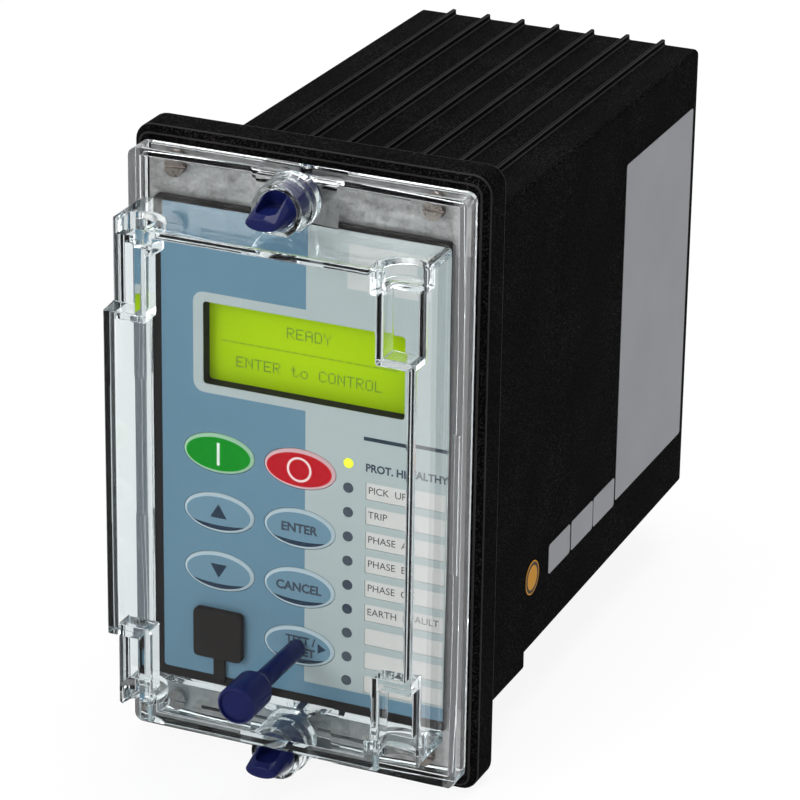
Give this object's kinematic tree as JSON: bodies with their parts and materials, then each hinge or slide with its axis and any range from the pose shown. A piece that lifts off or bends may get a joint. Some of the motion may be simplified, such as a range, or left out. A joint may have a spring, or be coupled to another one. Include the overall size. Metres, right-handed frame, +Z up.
{
  "type": "protection relay",
  "caption": "Panel-mounted protection relay: deep moulded case, keypad and display fascia, and a clear pull-off cover with pull latches and a push rod.",
  "frame": {"origin": "centre of the fixing pattern, on the flange's rear face that seats on the panel", "axes": "+X to the viewer's right, +Y to the rear of the case, +Z up; the fascia faces -Y"},
  "size_m": [0.102, 0.2347, 0.177],
  "materials": {
    "case_black": "fine-grained black moulding",
    "sheet_steel": "zinc-plated sheet",
    "screw_steel": "plated steel",
    "frame_black": "matt black moulding",
    "overlay_print": "printed polyester film",
    "card_white": "paper card",
    "display_green": "backlit display",
    "lamp_lit": "lit lamp",
    "lamp_dark": "unlit lamp",
    "key_green": "printed key",
    "key_red": "printed key",
    "key_blue": "printed key",
    "board_green": "circuit board",
    "cap_rubber": "matt rubber",
    "guide_white": "moulded nylon",
    "chip_black": "moulded package",
    "coil_yellow": "taped winding",
    "can_blue": "sleeved can",
    "core_iron": "laminated core",
    "winding_copper": "enamelled wire",
    "terminal_black": "moulded block",
    "terminal_steel": "plated steel",
    "brass_stud": "bright brass",
    "clear_cover": "clear polycarbonate",
    "navy_plastic": "navy moulding"
  },
  "bodies": {
    "case": {"case_shell": "case_black", "chassis_top": "sheet_steel", "chassis_bottom": "sheet_steel", "chassis_screws": "screw_steel", "fascia_frame": "frame_black", "fascia_overlay": "overlay_print", "legend_card": "card_white", "lcd_module": "display_green", "healthy_led": "lamp_lit", "alarm_leds": "lamp_dark", "key_domes": "screw_steel", "front_board": "board_green", "board_screws": "screw_steel", "usb_socket": "screw_steel", "board_guides": "guide_white", "main_board": "board_green", "processor_chips": "chip_black", "power_board": "board_green", "output_relays": "chip_black", "power_transformer": "coil_yellow", "smoothing_capacitors": "can_blue", "ct_cores": "core_iron", "ct_windings": "winding_copper", "front_connector": "chip_black", "rear_connectors": "chip_black", "ct_terminal_block": "terminal_black", "control_terminal_block": "terminal_black", "ct_screws": "terminal_steel", "control_screws": "terminal_steel", "earth_stud": "brass_stud", "earth_nut": "brass_stud"},
    "cover": {"clear_cover": "clear_cover"},
    "top_latch": {"top_latch": "navy_plastic"},
    "bottom_latch": {"bottom_latch": "navy_plastic"},
    "reset_rod": {"reset_rod": "navy_plastic"},
    "usb_cap": {"usb_cap": "cap_rubber"},
    "start_key": {"start_key": "key_green"},
    "stop_key": {"stop_key": "key_red"},
    "up_key": {"up_key": "key_blue"},
    "down_key": {"down_key": "key_blue"},
    "enter_key": {"enter_key": "key_blue"},
    "cancel_key": {"cancel_key": "key_blue"},
    "reset_key": {"reset_key": "key_blue"}
  },
  "joints": [
    {"name": "cover_pull", "type": "slide", "parent": "case", "child": "cover", "axis": [0, -1, 0], "range_m": [0, 0.06]},
    {"name": "top_latch_pull", "type": "slide", "parent": "cover", "child": "top_latch", "axis": [0, -1, 0], "range_m": [0, 0.003]},
    {"name": "bottom_latch_pull", "type": "slide", "parent": "cover", "child": "bottom_latch", "axis": [0, -1, 0], "range_m": [0, 0.003]},
    {"name": "reset_rod_push", "type": "slide", "parent": "cover", "child": "reset_rod", "axis": [0, 1, 0], "range_m": [0, 0.0004]},
    {"name": "usb_cap_open", "type": "hinge", "parent": "case", "child": "usb_cap", "pos_m": [-0.0236, -0.0163, -0.0677], "axis": [1, 0, 0], "range_deg": [0, 60], "stiffness_Nm_per_rad": 0.001},
    {"name": "start_press", "type": "slide", "parent": "case", "child": "start_key", "axis": [0, 1, 0], "range_m": [0, 0.0004], "stiffness_N_per_m": 2500},
    {"name": "stop_press", "type": "slide", "parent": "case", "child": "stop_key", "axis": [0, 1, 0], "range_m": [0, 0.0004], "stiffness_N_per_m": 2500},
    {"name": "up_press", "type": "slide", "parent": "case", "child": "up_key", "axis": [0, 1, 0], "range_m": [0, 0.0004], "stiffness_N_per_m": 2500},
    {"name": "down_press", "type": "slide", "parent": "case", "child": "down_key", "axis": [0, 1, 0], "range_m": [0, 0.0004], "stiffness_N_per_m": 2500},
    {"name": "enter_press", "type": "slide", "parent": "case", "child": "enter_key", "axis": [0, 1, 0], "range_m": [0, 0.0004], "stiffness_N_per_m": 2500},
    {"name": "cancel_press", "type": "slide", "parent": "case", "child": "cancel_key", "axis": [0, 1, 0], "range_m": [0, 0.0004], "stiffness_N_per_m": 2500},
    {"name": "reset_press", "type": "slide", "parent": "case", "child": "reset_key", "axis": [0, 1, 0], "range_m": [0, 0.0004], "stiffness_N_per_m": 2500}
  ],
  "couplings": [
    {"joint": "reset_press", "follows": "reset_rod_push", "ratio": 1}
  ]
}
